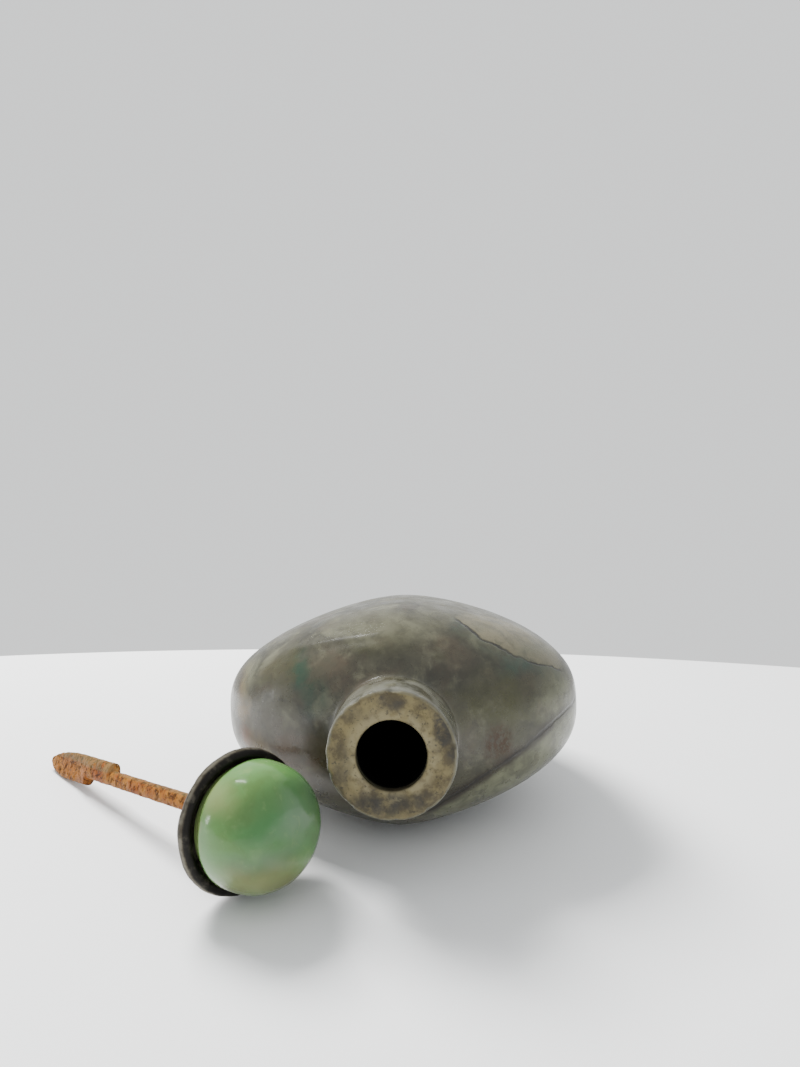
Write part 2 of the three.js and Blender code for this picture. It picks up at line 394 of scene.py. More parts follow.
def makeBottleTree():
    tree = bpy.data.node_groups.new("carvedBottle", "GeometryNodeTree")
    face = tree.interface
    face.new_socket("Outline", in_out="INPUT", socket_type="NodeSocketGeometry")
    for name, kind in (
        ("Stations", "Int"), ("Around", "Int"), ("Ridge Softness", "Float"), ("Unevenness", "Float"),
        ("Pit Depth", "Float"), ("Seed", "Float"), ("Crease Middle", "Vector"), ("Crease Facing", "Vector"),
        ("Crease Height", "Float"), ("Nick Depth", "Float"), ("Stone", "Material"),
    ):
        face.new_socket(name, in_out="INPUT", socket_type="NodeSocket" + kind)
    face.new_socket("Bottle", in_out="OUTPUT", socket_type="NodeSocketGeometry")
    given = tree.nodes.new("NodeGroupInput").outputs
    made = tree.nodes.new("NodeGroupOutput")

    rim = calc(tree, "ADD", given["Around"], 1)
    grid = addNode(
        tree, "GeometryNodeMeshGrid", Size_X=1.0, Size_Y=1.0, Vertices_X=given["Stations"], Vertices_Y=rim,
    )
    index = tree.nodes.new("GeometryNodeInputIndex").outputs[0]
    station = calc(tree, "FLOOR", calc(tree, "DIVIDE", calc(tree, "ADD", index, 0.5), rim))
    step = calc(tree, "SUBTRACT", index, times(tree, station, rim))

    def fromOutline(name):
        named = addNode(tree, "GeometryNodeInputNamedAttribute", {"data_type": "FLOAT"}, Name=name)
        return addNode(
            tree, "GeometryNodeSampleIndex",
            Geometry=given["Outline"], Value=named.outputs["Attribute"], Index=station,
        ).outputs["Value"]

    # each ring is a circle, squared up or pinched by its station's two powers
    turn = times(tree, calc(tree, "DIVIDE", step, given["Around"]), 2 * math.pi)
    side, rise = calc(tree, "COSINE", turn), calc(tree, "SINE", turn)
    soft = times(tree, given["Ridge Softness"], given["Ridge Softness"])
    eased = calc(tree, "DIVIDE", rescale(tree, side, side, soft), calc(tree, "ADD", soft, 1))
    pinch = times(tree, calc(tree, "SUBTRACT", fromOutline("pinch"), 1), 0.5)
    across = times(tree, fromOutline("halfWidth"), side, calc(tree, "POWER", eased, pinch))
    lifted = calc(tree, "POWER", calc(tree, "ABSOLUTE", rise), fromOutline("fullness"))
    level = times(tree, fromOutline("halfDepth"), lifted, calc(tree, "SIGN", rise))
    place = addNode(tree, "ShaderNodeCombineXYZ", X=across, Y=fromOutline("along"), Z=level).outputs[0]
    shaped = addNode(tree, "GeometryNodeSetPosition", Geometry=grid.outputs["Mesh"], Position=place)
    marked = addNode(
        tree, "GeometryNodeStoreNamedAttribute", {"data_type": "FLOAT"},
        Geometry=shaped.outputs[0], Name="hollow", Value=fromOutline("hollow"),
    )
    welded = addNode(tree, "GeometryNodeMergeByDistance", Geometry=marked.outputs[0], Distance=2e-6)
    outward = addNode(tree, "GeometryNodeFlipFaces", Mesh=welded.outputs[0])

    # slow ripple from the grinding, then small pits
    here = tree.nodes.new("GeometryNodeInputPosition").outputs[0]
    normal = tree.nodes.new("GeometryNodeInputNormal").outputs[0]

    def grit(perMetre, detail):
        return noiseNode(tree, here, perMetre, detail, 0.5, given["Seed"]).outputs[0]

    ripple = calc(tree, "SUBTRACT", grit(bottleShape["ripplesPerMetre"], 2.0), 1.25)  # always inward
    pits = calc(tree, "MAXIMUM", calc(tree, "SUBTRACT", grit(bottleShape["pitsPerMetre"], 3.0), 0.62), 0)
    pitted = times(tree, pits, given["Pit Depth"], 4.0)
    amount = calc(tree, "SUBTRACT", times(tree, ripple, given["Unevenness"]), pitted)

    # soft crease on the left shoulder, where two ground surfaces meet
    moved = vectorCalc(tree, "SUBTRACT", here, given["Crease Middle"])
    off = calc(tree, "ABSOLUTE", vectorCalc(tree, "DOT_PRODUCT", moved, given["Crease Facing"]))
    full, end = bottleShape["creaseReach"]
    reach = fade(tree, vectorCalc(tree, "LENGTH", moved), end * mm, full * mm)
    crease = times(tree, fade(tree, off, bottleShape["creaseHalfWidth"] * mm, 0), reach)
    amount = rescale(tree, crease, given["Crease Height"], amount)

    # nicks along the outer edge of the mouth
    radius = vectorCalc(tree, "LENGTH", vectorCalc(tree, "MULTIPLY", here, (1, 0, 1)))
    depth = addNode(tree, "ShaderNodeSeparateXYZ", Vector=here).outputs["Y"]
    edge = times(tree, fade(tree, depth, 1.1 * mm, 0.3 * mm), fade(tree, radius, 6.7 * mm, 7.2 * mm))
    nicks = fade(tree, grit(bottleShape["nicksPerMetre"], 3.0), 0.5, 0.68)
    amount = calc(tree, "SUBTRACT", amount, times(tree, nicks, times(tree, edge, given["Nick Depth"])))
    push = vectorCalc(tree, "SCALE", normal, scale=amount)
    worn = addNode(tree, "GeometryNodeSetPosition", Geometry=outward.outputs[0], Offset=push)
    dress(tree, worn, given["Stone"], made.inputs["Bottle"])
    return tree


def dress(tree, shaped, surface, out):
    smooth = addNode(tree, "GeometryNodeSetShadeSmooth", Geometry=shaped.outputs[0])
    real = addNode(tree, "GeometryNodeRealizeInstances", Geometry=smooth.outputs[0])
    dressed = addNode(tree, "GeometryNodeSetMaterial", Geometry=real.outputs[0], Material=surface)
    plug(tree, dressed.outputs[0], out)


def makeBottle(stone):
    shape = bottleShape
    stations = bottleStations()
    count = len(stations)
    outline = bpy.data.meshes.new("bottleOutline")
    outline.from_pydata([(0, i * mm, 0) for i in range(count)], [(i, i + 1) for i in range(count - 1)], [])
    names, units = ("along", "halfWidth", "halfDepth", "pinch", "fullness", "hollow"), (mm, mm, mm, 1, 1, 1)
    for name, values, unit in zip(names, zip(*stations), units):
        held = outline.attributes.new(name, "FLOAT", "POINT")
        held.data.foreach_set("value", [value * unit for value in values])
    holder = bpy.data.objects.new("bottleOutline", outline)
    bpy.context.scene.collection.objects.link(holder)
    bottle = bakeTree(holder, makeBottleTree(), {
        "Stations": count,
        "Around": shape["around"],
        "Ridge Softness": shape["ridgeSoftness"],
        "Unevenness": shape["unevenness"] * mm,
        "Pit Depth": shape["pitDepth"] * mm,
        "Crease Middle": Vector(shape["creaseMiddle"]) * mm,
        "Crease Facing": shape["creaseFacing"],
        "Crease Height": shape["creaseHeight"] * mm,
        "Nick Depth": shape["nickDepth"] * mm,
        "Seed": shape["seed"],
        "Stone": stone,
    }, "jade_bottle")
    lay = Matrix.Translation(Vector(shape["mouthAt"]) * mm)
    lay @= Matrix.Rotation(math.radians(shape["turn"]), 4, "Z")
    lay @= Matrix.Rotation(math.radians(-shape["neckLift"]), 4, "X")
    lay @= Matrix.Rotation(math.radians(shape["roll"]), 4, "Y")
    bottle.data.transform(lay)
    for vertex in bottle.data.vertices:
        vertex.co.z = max(vertex.co.z, 0)  # the small flat it rests on
    return bottle


# Bottle stone: colors are linear, places and sizes in mm

jade = {
    "grey": (0.049, 0.046, 0.027),
    "darkGrey": (0.018, 0.017, 0.009),
    "paleGrey": (0.114, 0.112, 0.070),
    "brown": (0.041, 0.028, 0.014),
    "olive": (0.037, 0.037, 0.008),
    "pinkBrown": (0.069, 0.045, 0.026),
    "teal": (0.009, 0.038, 0.019),
    "blueGreen": (0.023, 0.043, 0.028),
    "ochre": (0.130, 0.084, 0.021),
    "rust": (0.086, 0.028, 0.004),
    "crack": (0.006, 0.005, 0.003),
    "veinBrown": (0.014, 0.009, 0.004),
    "crust": (0.052, 0.028, 0.014),
    "paleGreen": (0.140, 0.145, 0.086),
    "beige": (0.124, 0.109, 0.063),
    # neck: cool grey, made paler to paint in the highlight along the neck's top
    "neck": (0.118, 0.118, 0.096),
    "lipCream": (0.153, 0.123, 0.051),
    "lipPale": (0.205, 0.175, 0.092),
    "lipTan": (0.064, 0.048, 0.018),
    "lipGrey": (0.016, 0.014, 0.010),
    "lipEdge": (0.135, 0.123, 0.072),
    # bore: painted shade for the dark bore and hollow
    "bore": (0.002, 0.002, 0.002),
    "crackThrough": (29.50, -10.58, 24.87),
    "crackNormal": (0.449, -0.112, 0.887),
    "crackReach": ((30.6, -10.0, 25.0), (9.4, 9, 6.5)),
    "veinThrough": (30.45, -14.71, 12.56),
    "veinNormal": (0.516, -0.150, -0.843),
    "veinReach": ((30.0, -13.0, 12.5), (15, 14, 12)),
    "crustReach": ((28.2, -17.4, 14.4), (1.9, 4, 2.7)),
    # all over: color, blotch size, seed, noise from and to, share, detail
    "ground": (
        ("grey", 5.5, 3, 0.34, 0.56, 1.0, 5.0),
        ("paleGrey", 4.0, 4, 0.50, 0.68, 0.80, 5.0),
        ("brown", 5.0, 5, 0.48, 0.68, 0.65, 5.0),
        ("olive", 7.0, 6, 0.52, 0.70, 0.50, 5.0),
        ("darkGrey", 1.6, 7, 0.50, 0.68, 0.55, 4.0),
    ),
    # in their own places: color, share, middle, half sizes
    "clouds": (
        ("teal", 0.80, (3.0, -14.0, 22.9), (1.2, 6, 2.2)),
        ("teal", 0.50, (4.6, -15.5, 20.6), (2.2, 6, 2.6)),
        ("olive", 0.90, (28.0, -16.5, 20.0), (4.6, 8, 3.2)),
        ("olive", 0.55, (31.0, -14.5, 18.0), (3.5, 7, 3.5)),
        ("olive", 0.50, (13.0, -15.0, 26.8), (4.5, 7, 1.6)),
        ("darkGrey", 0.60, (25.0, -17.5, 22.5), (3.2, 7, 2.2)),
        ("pinkBrown", 0.45, (7.4, -15.8, 23.6), (3.6, 6, 2.0)),
        ("pinkBrown", 0.32, (21.8, -16.2, 25.4), (3.5, 6, 2.2)),
        ("pinkBrown", 0.75, (2.6, -16.8, 12.2), (3.8, 7, 3.8)),
        ("darkGrey", 0.70, (15.6, -18.0, 25.6), (5.6, 4, 1.5)),
        ("darkGrey", 0.25, (8.4, -17.6, 17.0), (2.6, 5, 4.0)),
        ("blueGreen", 0.95, (32.7, -10.3, 23.6), (4.6, 6, 1.5)),
        ("beige", 0.90, (30.6, -6.5, 26.2), (6.5, 7, 2.4)),
        # pale cloud on the shoulder above the neck: partly the stone's pale tone, partly a painted sheen of
        # the bright room on the upturned shoulder
        ("paleGrey", 0.60, (12.5, -12.0, 28.2), (8.0, 6, 1.6)),
        ("beige", 0.55, (36.0, -8.0, 22.6), (2.6, 6, 1.6)),
        ("paleGreen", 0.70, (36.5, -9.5, 18.2), (3.6, 7, 3.4)),
        ("darkGrey", 0.60, (33.2, -12.5, 20.6), (3.6, 7, 2.4)),
        ("brown", 0.70, (-7.0, -7.0, 14.5), (3.0, 8, 8.0)),
        ("ochre", 0.70, (-5.6, -8.5, 17.8), (1.3, 6, 3.6)),
        ("paleGreen", 0.55, (-5.0, -8.8, 20.5), (1.4, 6, 2.6)),
        ("rust", 0.95, (-5.1, -9.4, 12.4), (1.3, 4, 1.3)),
        ("ochre", 0.45, (-3.4, -10.6, 10.6), (2.2, 6, 2.6)),
    ),
    # grey stains on the mouth face: share, middle, half sizes
    "stains": (
        (0.95, (20.6, -25, 19.8), (1.2, 3, 2.9)),
        (0.95, (13.6, -25, 10.7), (3.6, 3, 1.4)),
        (0.70, (18.4, -25, 11.2), (1.6, 3, 1.0)),
        (0.75, (14.6, -25, 22.4), (1.6, 3, 0.9)),
        (0.50, (9.0, -25, 14.2), (1.0, 3, 2.8)),
        (0.85, (21.6, -25, 16.2), (0.7, 3, 1.2)),
        (0.40, (10.0, -25, 20.8), (1.5, 3, 1.0)),
        (0.50, (18.8, -25, 22.2), (1.2, 3, 0.6)),
    ),
}


def mottledColor(tree, place, slow, soft, broken):
    # cloudy ground, then colored clouds that have their own places, broken by a finer cloud
    color = jade["darkGrey"]
    for tint, size, seed, low, high, share, detail in jade["ground"]:
        cover = clouds(tree, slow, size, detail, 0.62, seed, low, high)
        color = paint(tree, color, jade[tint], times(tree, cover, share))
    for tint, share, middle, size in jade["clouds"]:
        cover = patch(tree, soft, middle, size, 1.1)
        color = paint(tree, color, jade[tint], times(tree, cover, broken, share))

    # thin wandering threads all over
    threads = calc(tree, "ABSOLUTE", calc(tree, "SUBTRACT", noise(tree, slow, 9, 5.0, 0.62, 8), 0.5))
    return paint(tree, color, jade["veinBrown"], times(tree, fade(tree, threads, 0.008, 0.0), 0.3))


def crackedColor(tree, place, color, broken):
    # upper crack, beige above it and green below it
    rough = wander(tree, wander(tree, place, 3.0, 0.42, 9), 0.6, 0.10, 10)
    crack = sheetDistance(tree, rough, jade["crackThrough"], jade["crackNormal"])
    reach = patch(tree, place, *jade["crackReach"], 0.2)
    faint = rescale(tree, clouds(tree, place, 1.8, 2.0, 0.5, 21, 0.35, 0.55), 0.5, 0.5)
    crackLine = times(tree, fade(tree, calc(tree, "ABSOLUTE", crack), 0.13, 0.03), reach, faint)
    above = times(tree, fade(tree, crack, 2.2, 0.2), fade(tree, crack, -0.1, 0.1), reach, broken)
    below = times(tree, fade(tree, crack, -1.5, -0.1), fade(tree, crack, 0.15, -0.1), reach, broken)
    color = paint(tree, color, jade["beige"], times(tree, above, 0.8))
    color = paint(tree, color, jade["blueGreen"], times(tree, below, 0.5))
    color = paint(tree, color, jade["crack"], times(tree, crackLine, 0.95))

    # lower brown sheet, with a pale band under it: painted light reflected up from the bright floor onto the
    # side that turns under
    vein = sheetDistance(tree, rough, jade["veinThrough"], jade["veinNormal"])
    reach = patch(tree, place, *jade["veinReach"], 0.3)
    floorReflectionBand = times(tree, fade(tree, vein, 0.3, 0.9), fade(tree, vein, 6.5, 2.5), reach, broken)
    color = paint(tree, color, jade["paleGreen"], times(tree, floorReflectionBand, 0.9))
    uneven = rescale(tree, clouds(tree, place, 4, 3.0, 0.5, 11, 0.35, 0.6), 0.5, 0.45)
    veinShade = times(tree, fade(tree, calc(tree, "ABSOLUTE", vein), 1.3, 0.1), reach)
    veinLine = times(tree, fade(tree, calc(tree, "ABSOLUTE", vein), 0.28, 0.05), reach)
    color = paint(tree, color, jade["veinBrown"], times(tree, veinShade, uneven))
    color = paint(tree, color, jade["crack"], times(tree, veinLine, 0.6))
    return color, crackLine, veinLine


def mouthColor(tree, place, radius):
    # matte cream, paler at the bore, with grey stains and specks
    tan = clouds(tree, place, 2.0, 6.0, 0.68, 14, 0.40, 0.60)
    cream = paint(tree, jade["lipCream"], jade["lipTan"], tan)
    nearBore = times(tree, fade(tree, radius, 6.0, 4.6), clouds(tree, place, 1.6, 4.0, 0.6, 25, 0.34, 0.56))
    cream = paint(tree, cream, jade["lipPale"], times(tree, nearBore, 0.8))
    loose = wander(tree, wander(tree, place, 1.8, 0.9, 15), 0.5, 0.25, 22)
    grime = rescale(tree, clouds(tree, loose, 1.1, 5.0, 0.68, 26, 0.36, 0.58), 0.6, 0.4)
    for share, middle, size in jade["stains"]:
        stain = times(tree, patch(tree, loose, middle, size, 1.1), grime, share)
        cream = paint(tree, cream, jade["lipGrey"], stain)
    specks = clouds(tree, place, 0.35, 2.0, 0.5, 16, 0.60, 0.68)
    return paint(tree, cream, jade["lipGrey"], times(tree, specks, 0.6))


def mottledJade():
    material, tree, shader = newMaterial("mottledJade", IOR=1.6)
    place = objectPlace(tree)
    slow = wander(tree, place, 7, 2.4, 1)
    soft = wander(tree, wander(tree, place, 3.2, 1.7, 2), 1.1, 0.6, 13)
    broken = rescale(tree, clouds(tree, soft, 2.2, 4.0, 0.65, 20, 0.36, 0.62), 0.7, 0.3)
    color = mottledColor(tree, place, slow, soft, broken)
    color, crackLine, veinLine = crackedColor(tree, place, color, broken)

    # rough brown crust on the right shoulder
    crumbs = rescale(tree, clouds(tree, place, 0.5, 4.0, 0.6, 12, 0.40, 0.60), 0.65, 0.35)
    crust = times(tree, patch(tree, soft, *jade["crustReach"], 0.9), crumbs)
    color = paint(tree, color, jade["crust"], times(tree, crust, 0.85))

    # depth from the mouth face and distance from the neck's axis
    neckTurn = Matrix.Rotation(math.radians(bottleShape["turn"]), 3, "Z")
    neckTurn @= Matrix.Rotation(math.radians(-bottleShape["neckLift"]), 3, "X")
    depth, off = axisPlace(tree, place, bottleShape["mouthAt"], neckTurn @ Vector((0, 1, 0)))
    radius = times(tree, vectorCalc(tree, "LENGTH", off), 1000.0)

    # smoother, cooler neck; its grey is also made paler to paint in the highlight along the neck's top
    neck = times(tree, fade(tree, depth, 7.5, 5.0), fade(tree, radius, 7.0, 7.4))
    neckToneAndSheen = times(tree, clouds(tree, slow, 2.6, 5.0, 0.62, 24, 0.34, 0.60), 0.75)
    color = paint(tree, color, jade["neck"], times(tree, neck, neckToneAndSheen))

    # mouth face, and a paler ring round its rounded outer edge
    lip = times(tree, fade(tree, depth, 0.35, 0.05), fade(tree, radius, 3.7, 4.1))
    color = paint(tree, color, mouthColor(tree, place, radius), lip)
    edge = times(tree, fade(tree, radius, 7.1, 7.25), fade(tree, radius, 7.6, 7.4))
    edge = times(tree, edge, fade(tree, depth, 0.5, 0.1), clouds(tree, place, 1.2, 3.0, 0.6, 23, 0.38, 0.55))
    color = paint(tree, color, jade["lipEdge"], times(tree, edge, 0.7))

    # the bore and the hollow are painted near-black and lose their shine: painted shade deep in the opening
    flag = addNode(tree, "ShaderNodeAttribute", {"attribute_name": "hollow"}).outputs["Fac"]
    boreShade = times(tree, fade(tree, flag, 0.4, 0.9), fade(tree, depth, 0.35, 1.4))
    color = paint(tree, color, jade["bore"], boreShade)
    plug(tree, color, shader.inputs["Base Color"])
    plug(tree, rescale(tree, boreShade, -0.38, 0.38), shader.inputs["Specular IOR Level"])

    # polished body; duller mouth, bore and crust
    roughness = rescale(tree, clouds(tree, place, 2.5, 4.0, 0.6, 17, 0.3, 0.7), 0.16, 0.22)
    for mask, more in ((lip, 0.4), (boreShade, 0.6), (crust, 0.35)):
        roughness = rescale(tree, mask, more, roughness)
    plug(tree, roughness, shader.inputs["Roughness"])

    # fine relief: orange-peel polish, grain on the mouth and the crust, the cracks
    peel = times(tree, noise(tree, place, 1.3, 3.0, 0.55, 18), 0.8)
    coarse = calc(tree, "ADD", times(tree, lip, 0.7), times(tree, crust, 1.6))
    grain = times(tree, noise(tree, place, 0.25, 3.0, 0.6, 19), coarse)
    cuts = calc(tree, "ADD", crackLine, times(tree, veinLine, 0.7))
    addRelief(tree, shader, 0.4, 0.12, calc(tree, "SUBTRACT", calc(tree, "ADD", peel, grain), cuts))
    return material


bottlePiece = makeBottle(mottledJade())
handIn(bottlePiece, "bottle")


# Stopper: its axis starts in the middle of the collar's widest ring, plus is toward the cabochon

stopperShape = {
    "middle": (-2.5920, -23.8447, 8.1293),
    "turn": 47.6,   # degrees
    "tilt": 7.53,
}


def stopperLay():
    lay = Matrix.Translation(Vector(stopperShape["middle"]) * mm)
    lay @= Matrix.Rotation(math.radians(stopperShape["turn"]), 4, "Z")
    return lay @ Matrix.Rotation(math.pi - math.radians(stopperShape["tilt"]), 4, "X")


stopperAxis = stopperLay().to_3x3() @ Vector((0, 1, 0))


def makeWornTree():
    # sinks a clean shape by slow dents and small pits, along its own normals
    tree = bpy.data.node_groups.new("wornSkin", "GeometryNodeTree")
    face = tree.interface
    face.new_socket("Clean Shape", in_out="INPUT", socket_type="NodeSocketGeometry")
    for name in ("Dent Width", "Dent Depth", "Pit Width", "Pit Depth", "Pit Share", "Seed"):
        face.new_socket(name, in_out="INPUT", socket_type="NodeSocketFloat")
    face.new_socket("Surface", in_out="INPUT", socket_type="NodeSocketMaterial")
    face.new_socket("Worn Shape", in_out="OUTPUT", socket_type="NodeSocketGeometry")
    given = tree.nodes.new("NodeGroupInput").outputs
    made = tree.nodes.new("NodeGroupOutput")
    here = tree.nodes.new("GeometryNodeInputPosition").outputs[0]
    normal = tree.nodes.new("GeometryNodeInputNormal").outputs[0]
    dentScale = calc(tree, "DIVIDE", 1.0, given["Dent Width"])
    dents = noiseNode(tree, here, dentScale, 3.0, 0.5, given["Seed"]).outputs[0]
    dented = times(tree, fade(tree, dents, 0.75, 0.25), given["Dent Depth"])
    pits = addNode(
        tree, "ShaderNodeTexVoronoi", {"voronoi_dimensions": "4D"},
        Vector=here, W=given["Seed"], Scale=calc(tree, "DIVIDE", 1.0, given["Pit Width"]),
    )
    chance = addNode(tree, "ShaderNodeSeparateXYZ", Vector=pits.outputs["Color"]).outputs["X"]
    few = calc(tree, "LESS_THAN", chance, given["Pit Share"])
    cups = fade(tree, pits.outputs["Distance"], 0.55, 0.1)
    pitted = times(tree, cups, times(tree, few, given["Pit Depth"]))
    sunk = times(tree, calc(tree, "ADD", dented, pitted), -1.0)
    push = vectorCalc(tree, "SCALE", normal, scale=sunk)
    worn = addNode(tree, "GeometryNodeSetPosition", Geometry=given["Clean Shape"], Offset=push)
    dress(tree, worn, given["Surface"], made.inputs["Worn Shape"])
    return tree


wornTree = makeWornTree()


def ringMesh(name, rings):
    # closed skin over a stack of equal rings; a ring of one repeated point closes the end
    around = len(rings[0])
    faces = []
    for ring in range(len(rings) - 1):
        low, high = ring * around, (ring + 1) * around
        for step in range(around):
            after = (step + 1) % around
            faces.append((low + step, low + after, high + after, high + step))
    mesh = bpy.data.meshes.new(name)
    mesh.from_pydata([Vector(point) * mm for ring in rings for point in ring], [], faces)
    builder = bmesh.new()
    builder.from_mesh(mesh)
    bmesh.ops.remove_doubles(builder, verts=builder.verts, dist=1e-6)
    bmesh.ops.recalc_face_normals(builder, faces=builder.faces)
    builder.to_mesh(mesh)
    builder.free()
    return mesh


def turnedMesh(name, outline, around):
    turns = spread(0, 2 * math.pi, around)[:-1]
    return ringMesh(name, [
        [(radius * math.cos(turn), along, radius * math.sin(turn)) for turn in turns]
        for radius, along in outline
    ])


def makeStopperPiece(name, mesh, wear, surface):
    mesh.transform(stopperLay())
    holder = bpy.data.objects.new(name, mesh)
    bpy.context.scene.collection.objects.link(holder)
    return bakeTree(holder, wornTree, {
        "Dent Width": wear["dentWidth"] * mm,
        "Dent Depth": wear["dentDepth"] * mm,
        "Pit Width": wear["pitWidth"] * mm,
        "Pit Depth": wear["pitDepth"] * mm,
        "Pit Share": wear["pitShare"],
        "Seed": wear["seed"],
        "Surface": surface,
    }, name)


# Collar

collar = {
    "radius": 8.2,
    "back": 2.4,
    "backRadius": 4.6,      # flat of the back
    "shoulderRadius": 6.8,
    "shoulderRise": 0.4,
    "rim": 0.9,
    "seatRadius": 6.9,
    "seatDepth": 1.0,
    "seatEdge": 0.06,
    "around": 256,
    "wear": {
        "dentWidth": 2.6, "dentDepth": 0.10,
        "pitWidth": 0.55, "pitDepth": 0.06, "pitShare": 0.35, "seed": 31.0,
    },
    "brown": (0.046, 0.037, 0.025),
    "grey": (0.120, 0.108, 0.084),
    "black": (0.006, 0.005, 0.004),
    "edge": (0.140, 0.128, 0.098),
}


def collarMesh():
    radius, back, rim, edge = (collar[name] for name in ("radius", "back", "rim", "seatEdge"))
    flat = collar["backRadius"]
    shoulder = (collar["shoulderRadius"], collar["shoulderRise"] - back)
    wallTop = (radius - rim * (1 - math.cos(math.pi / 4)), -rim * math.sin(math.pi / 4))
    seat, floor = collar["seatRadius"], rim - collar["seatDepth"]

    outline = [(flat * part, -back) for part in (0, 0.3, 0.6, 0.85, 0.97)]
    outline += [(mix(flat, shoulder[0], part), mix(-back, shoulder[1], part)) for part in spread(0, 1, 8)]
    for part in spread(0, 1, 8)[1:-1]:
        outline.append((mix(shoulder[0], wallTop[0], part), mix(shoulder[1], wallTop[1], part)))
    for turn in spread(-math.pi / 4, math.pi / 2, 20):
        outline.append((radius - rim * (1 - math.cos(turn)), rim * math.sin(turn)))
    outline += [(seat + edge, rim - 2 * edge), (seat, rim - 5 * edge), (seat, mix(rim, floor, 0.6))]
    outline += [(seat, floor + edge / 2), (seat - edge / 2, floor)]
    outline += [(seat * part, floor) for part in (0.9, 0.7, 0.4, 0)]
    return turnedMesh("collarOutline", outline, collar["around"])


def oxidisedMetal():
    material, tree, shader = newMaterial("oxidisedMetal", Metallic=0.55, Specular_IOR_Level=0.35)
    place = objectPlace(tree)
    along, _ = axisPlace(tree, place, stopperShape["middle"], stopperAxis)
    patina = noise(tree, wander(tree, place, 3, 0.8, 32), 1.6, 4.0, 0.62, 33)
    color = paint(tree, collar["brown"], collar["grey"], fade(tree, patina, 0.42, 0.66))
    fine = noise(tree, place, 0.5, 3.0, 0.6, 34)
    color = paint(tree, color, collar["black"], times(tree, fade(tree, fine, 0.5, 0.66), 0.6))

    # black bezel, flaked in places, and a pale worn edge where the wall turns over
    flaked = rescale(tree, fade(tree, patina, 0.66, 0.50), 0.35, 0.62)
    color = paint(tree, color, collar["black"], times(tree, fade(tree, along, 0.38, 0.62), flaked))
    edge = times(tree, fade(tree, along, 0.02, 0.2), fade(tree, along, 0.5, 0.32))
    edge = times(tree, edge, fade(tree, patina, 0.36, 0.56), 0.75)
    color = paint(tree, color, collar["edge"], edge)
    plug(tree, color, shader.inputs["Base Color"])
    plug(tree, rescale(tree, patina, 0.35, 0.36), shader.inputs["Roughness"])
    addRelief(tree, shader, 0.5, 0.1, calc(tree, "ADD", patina, times(tree, fine, 0.4)))
    return material


collarPiece = makeStopperPiece("metal_collar", collarMesh(), collar["wear"], oxidisedMetal())
handIn(collarPiece, "stopper_collar")


# Cabochon

cabochon = {
    "radius": 7.2,
    "foot": 6.5,
    "bottom": 0.2,
    "footTop": 0.9,
    "flare": 0.8,        # power of the widening above the foot
    "waist": 2.1,
    "rise": 6.8,
    "domePowers": (0.6, 0.85),
    "around": 192,
    "wear": {
        "dentWidth": 6.0, "dentDepth": 0.10,
        "pitWidth": 0.8, "pitDepth": 0.012, "pitShare": 0.12, "seed": 35.0,
    },
    "apple": (0.082, 0.195, 0.052),
    "pale": (0.150, 0.235, 0.078),
    "deep": (0.028, 0.118, 0.036),
    "moss": (0.070, 0.142, 0.034),
    "grey": (0.072, 0.138, 0.072),
    "cream": (0.209, 0.221, 0.087),
    "pink": (0.176, 0.150, 0.072),
    "olive": (0.090, 0.090, 0.020),
    # in their own places: color, share, middle, half sizes
    "clouds": (
        ("deep", 0.70, (1.6, -29, 11.0), (3.0, 8, 2.2)),
        ("deep", 0.30, (2.6, -28, 13.2), (2.6, 8, 1.6)),
        ("moss", 0.35, (0.4, -28, 13.6), (3.0, 8, 1.4)),
        ("apple", 0.60, (-3.4, -28, 10.2), (1.8, 8, 3.4)),
        ("apple", 0.60, (-4.6, -28, 5.8), (2.2, 8, 3.0)),
        ("cream", 0.50, (-4.2, -27, 13.6), (2.4, 8, 1.3)),
        ("cream", 0.55, (-6.4, -25, 8.6), (1.0, 8, 5.0)),
        ("grey", 0.75, (5.0, -26, 11.2), (2.2, 8, 3.0)),
        ("grey", 0.75, (1.4, -28, 7.4), (4.6, 8, 1.4)),
        ("pink", 0.65, (0.8, -28, 5.0), (4.0, 8, 2.4)),
        ("olive", 0.80, (3.8, -25, 3.4), (3.0, 8, 1.5)),
        ("olive", 0.70, (-2.8, -26, 3.6), (2.2, 8, 1.5)),
    ),
}


def cabochonMesh():
    radius, foot, bottom, top, waist, rise = (
        cabochon[name] for name in ("radius", "foot", "bottom", "footTop", "waist", "rise")
    )
    outline = [(foot * part, bottom) for part in (0, 0.4, 0.75, 0.95, 0.995)]
    outline += [(foot, bottom + 0.05), (foot, mix(bottom, top, 0.5)), (foot, top - 0.03)]
    for part in spread(0, 1, 8)[:-1]:
        outline.append((mix(foot, radius, part ** cabochon["flare"]), mix(top, waist, part)))
    across, up = cabochon["domePowers"]
    for turn in spread(0, math.pi / 2, 70)[:-1]:
        outline.append((radius * math.cos(turn) ** across, waist + rise * math.sin(turn) ** up))
    outline.append((0, waist + rise))
    return turnedMesh("cabochonOutline", outline, cabochon["around"])


